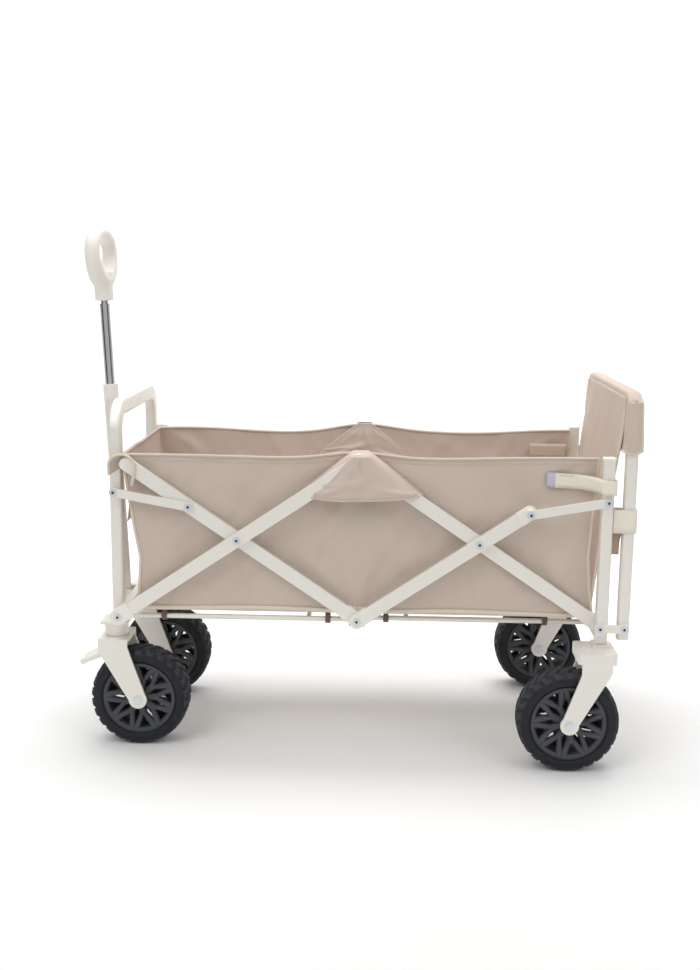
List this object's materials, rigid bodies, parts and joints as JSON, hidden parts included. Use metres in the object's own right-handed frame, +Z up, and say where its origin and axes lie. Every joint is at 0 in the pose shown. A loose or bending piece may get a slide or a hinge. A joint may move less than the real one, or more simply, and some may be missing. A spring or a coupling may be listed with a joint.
{
  "type": "folding wagon",
  "caption": "Folding wagon with a fabric basket on a scissor frame, chunky wheels, swivel casters, a telescopic pull handle and a drop-down tailgate.",
  "frame": {"origin": "on the ground, under the middle of the wagon's bounding box", "axes": "+X along the wagon towards the tailgate, +Y to the side, +Z up"},
  "size_m": [0.967, 0.5004, 0.9233],
  "materials": {
    "ivory_coat": "satin powder coat",
    "ivory_plastic": "satin moulded plastic",
    "zinc_rivet": "zinc plated",
    "chrome_tube": "polished",
    "tyre_rubber": "matt rubber",
    "rim_plastic": "satin moulded plastic",
    "black_plastic": "matt",
    "taupe_cloth": "woven polyester",
    "cream_webbing": "woven webbing"
  },
  "bodies": {
    "front_frame": {"front_frame": "ivory_coat", "caster_plates": "ivory_coat", "front_rivets": "zinc_rivet", "handle_bracket": "ivory_coat", "walls_front": "taupe_cloth", "end_wall": "taupe_cloth", "floor_front": "taupe_cloth"},
    "scissor_a": {"bars_a": "ivory_coat", "ends_a": "ivory_plastic", "rivets_a": "zinc_rivet", "top_pockets": "taupe_cloth"},
    "scissor_b": {"bars_b": "ivory_coat", "ends_b": "ivory_plastic"},
    "scissor_c": {"bars_c": "ivory_coat", "ends_c": "ivory_plastic"},
    "scissor_d": {"bars_d": "ivory_coat", "ends_d": "ivory_plastic", "rivets_d": "zinc_rivet"},
    "rear_frame": {"rear_frame": "ivory_coat", "post_caps": "ivory_plastic", "rear_forks": "ivory_coat", "rear_axles": "zinc_rivet", "gate_brackets": "ivory_plastic", "bracket_rivets": "zinc_rivet", "rear_rivets": "zinc_rivet", "walls_rear": "taupe_cloth", "floor_rear": "taupe_cloth", "side_straps": "cream_webbing"},
    "front_links": {"front_links": "ivory_coat", "front_link_rivets": "zinc_rivet"},
    "rear_links": {"rear_links": "ivory_coat", "rear_link_rivets": "zinc_rivet"},
    "front_rails": {"front_rails": "ivory_coat", "rail_sleeves": "ivory_coat", "rail_plugs": "black_plastic"},
    "rear_rails": {"rear_rails": "ivory_coat"},
    "caster_near": {"caster_fork_near": "ivory_coat", "caster_axle_near": "zinc_rivet", "pedal_pin_near": "black_plastic"},
    "caster_far": {"caster_fork_far": "ivory_coat", "caster_axle_far": "zinc_rivet", "pedal_pin_far": "black_plastic"},
    "pedal_near": {"pedal_near": "ivory_plastic"},
    "pedal_far": {"pedal_far": "ivory_plastic"},
    "wheel_front_near": {"tyre_front_near": "tyre_rubber", "rim_front_near": "rim_plastic"},
    "wheel_front_far": {"tyre_front_far": "tyre_rubber", "rim_front_far": "rim_plastic"},
    "wheel_rear_near": {"tyre_rear_near": "tyre_rubber", "rim_rear_near": "rim_plastic"},
    "wheel_rear_far": {"tyre_rear_far": "tyre_rubber", "rim_rear_far": "rim_plastic"},
    "handle_lower": {"handle_tube": "ivory_coat", "handle_collar": "ivory_plastic"},
    "handle_middle": {"chrome_tube": "chrome_tube"},
    "handle_top": {"inner_tube": "chrome_tube", "grip": "ivory_plastic"},
    "tailgate": {"gate_frame": "ivory_coat", "gate_panel": "taupe_cloth", "strap_loops": "cream_webbing"}
  },
  "joints": [
    {"name": "fold", "type": "hinge", "parent": "front_frame", "child": "scissor_a", "pos_m": [-0.4045, 0, 0.25], "axis": [0, -1, 0], "range_deg": [0, 46.03], "deforming": ["walls_front", "walls_rear", "floor_front", "floor_rear", "end_wall", "top_pockets", "side_straps"]},
    {"name": "front_cross", "type": "hinge", "parent": "scissor_a", "child": "scissor_b", "pos_m": [-0.196, 0, 0.3905], "axis": [0, -1, 0], "range_deg": [-92.66, 0.6]},
    {"name": "top_pivot", "type": "hinge", "parent": "scissor_a", "child": "scissor_c", "pos_m": [0.0125, 0, 0.531], "axis": [0, -1, 0], "range_deg": [-92.66, 0.6]},
    {"name": "rear_cross", "type": "hinge", "parent": "scissor_c", "child": "scissor_d", "pos_m": [0.221, 0, 0.3905], "axis": [0, -1, 0], "range_deg": [-0.6, 92.66]},
    {"name": "rear_post", "type": "hinge", "parent": "scissor_c", "child": "rear_frame", "pos_m": [0.4295, 0, 0.25], "axis": [0, -1, 0], "range_deg": [-0.6, 46.63]},
    {"name": "front_link", "type": "hinge", "parent": "front_frame", "child": "front_links", "pos_m": [-0.4085, 0, 0.47], "axis": [0, -1, 0], "range_deg": [-0.6, 87.42]},
    {"name": "rear_link", "type": "hinge", "parent": "rear_frame", "child": "rear_links", "pos_m": [0.4335, 0, 0.47], "axis": [0, -1, 0], "range_deg": [-87.42, 0.6]},
    {"name": "front_floor", "type": "hinge", "parent": "front_frame", "child": "front_rails", "pos_m": [-0.3905, 0, 0.245], "axis": [0, -1, 0], "range_deg": [-0.6, 80.12]},
    {"name": "rear_floor", "type": "hinge", "parent": "rear_frame", "child": "rear_rails", "pos_m": [0.4155, 0, 0.245], "axis": [0, -1, 0], "range_deg": [-80.12, 0.6]},
    {"name": "caster_near_swivel", "type": "hinge", "parent": "front_frame", "child": "caster_near", "pos_m": [-0.4215, -0.129, 0.21], "axis": [0, 0, 1], "continuous": true},
    {"name": "caster_far_swivel", "type": "hinge", "parent": "front_frame", "child": "caster_far", "pos_m": [-0.4215, 0.129, 0.21], "axis": [0, 0, 1], "continuous": true},
    {"name": "wheel_front_near_spin", "type": "hinge", "parent": "caster_near", "child": "wheel_front_near", "pos_m": [-0.3785, -0.129, 0.088], "axis": [0, 1, 0], "continuous": true},
    {"name": "wheel_front_far_spin", "type": "hinge", "parent": "caster_far", "child": "wheel_front_far", "pos_m": [-0.3785, 0.129, 0.088], "axis": [0, 1, 0], "continuous": true},
    {"name": "wheel_rear_near_spin", "type": "hinge", "parent": "rear_frame", "child": "wheel_rear_near", "pos_m": [0.3795, -0.208, 0.088], "axis": [0, 1, 0], "continuous": true},
    {"name": "wheel_rear_far_spin", "type": "hinge", "parent": "rear_frame", "child": "wheel_rear_far", "pos_m": [0.3795, 0.208, 0.088], "axis": [0, 1, 0], "continuous": true},
    {"name": "pedal_near_press", "type": "hinge", "parent": "caster_near", "child": "pedal_near", "pos_m": [-0.4375, -0.129, 0.17], "axis": [0, -1, 0], "range_deg": [0, 15]},
    {"name": "pedal_far_press", "type": "hinge", "parent": "caster_far", "child": "pedal_far", "pos_m": [-0.4375, 0.129, 0.17], "axis": [0, -1, 0], "range_deg": [0, 15]},
    {"name": "handle_tilt", "type": "hinge", "parent": "front_frame", "child": "handle_lower", "pos_m": [-0.434, 0, 0.238], "axis": [0, -1, 0], "range_deg": [0, 95]},
    {"name": "handle_slide", "type": "slide", "parent": "handle_lower", "child": "handle_middle", "axis": [-0.0454, 0, 0.999], "range_m": [-0.13, 0.12]},
    {"name": "grip_slide", "type": "slide", "parent": "handle_middle", "child": "handle_top", "axis": [-0.0454, 0, 0.999], "range_m": [0, 0.2]},
    {"name": "tailgate_drop", "type": "hinge", "parent": "rear_frame", "child": "tailgate", "pos_m": [0.4705, 0, 0.25], "axis": [0, 1, 0], "range_deg": [0, 95]}
  ],
  "couplings": [
    {"joint": "front_cross", "follows": "fold", "ratio": -2},
    {"joint": "top_pivot", "follows": "fold", "ratio": -2},
    {"joint": "rear_cross", "follows": "fold", "ratio": 2},
    {"joint": "rear_post", "follows": "fold", "ratio": 1},
    {"joint": "front_link", "follows": "fold", "ratio": 1.8861},
    {"joint": "rear_link", "follows": "fold", "ratio": -1.8861},
    {"joint": "front_floor", "follows": "fold", "ratio": 1.7275},
    {"joint": "rear_floor", "follows": "fold", "ratio": -1.7275}
  ]
}
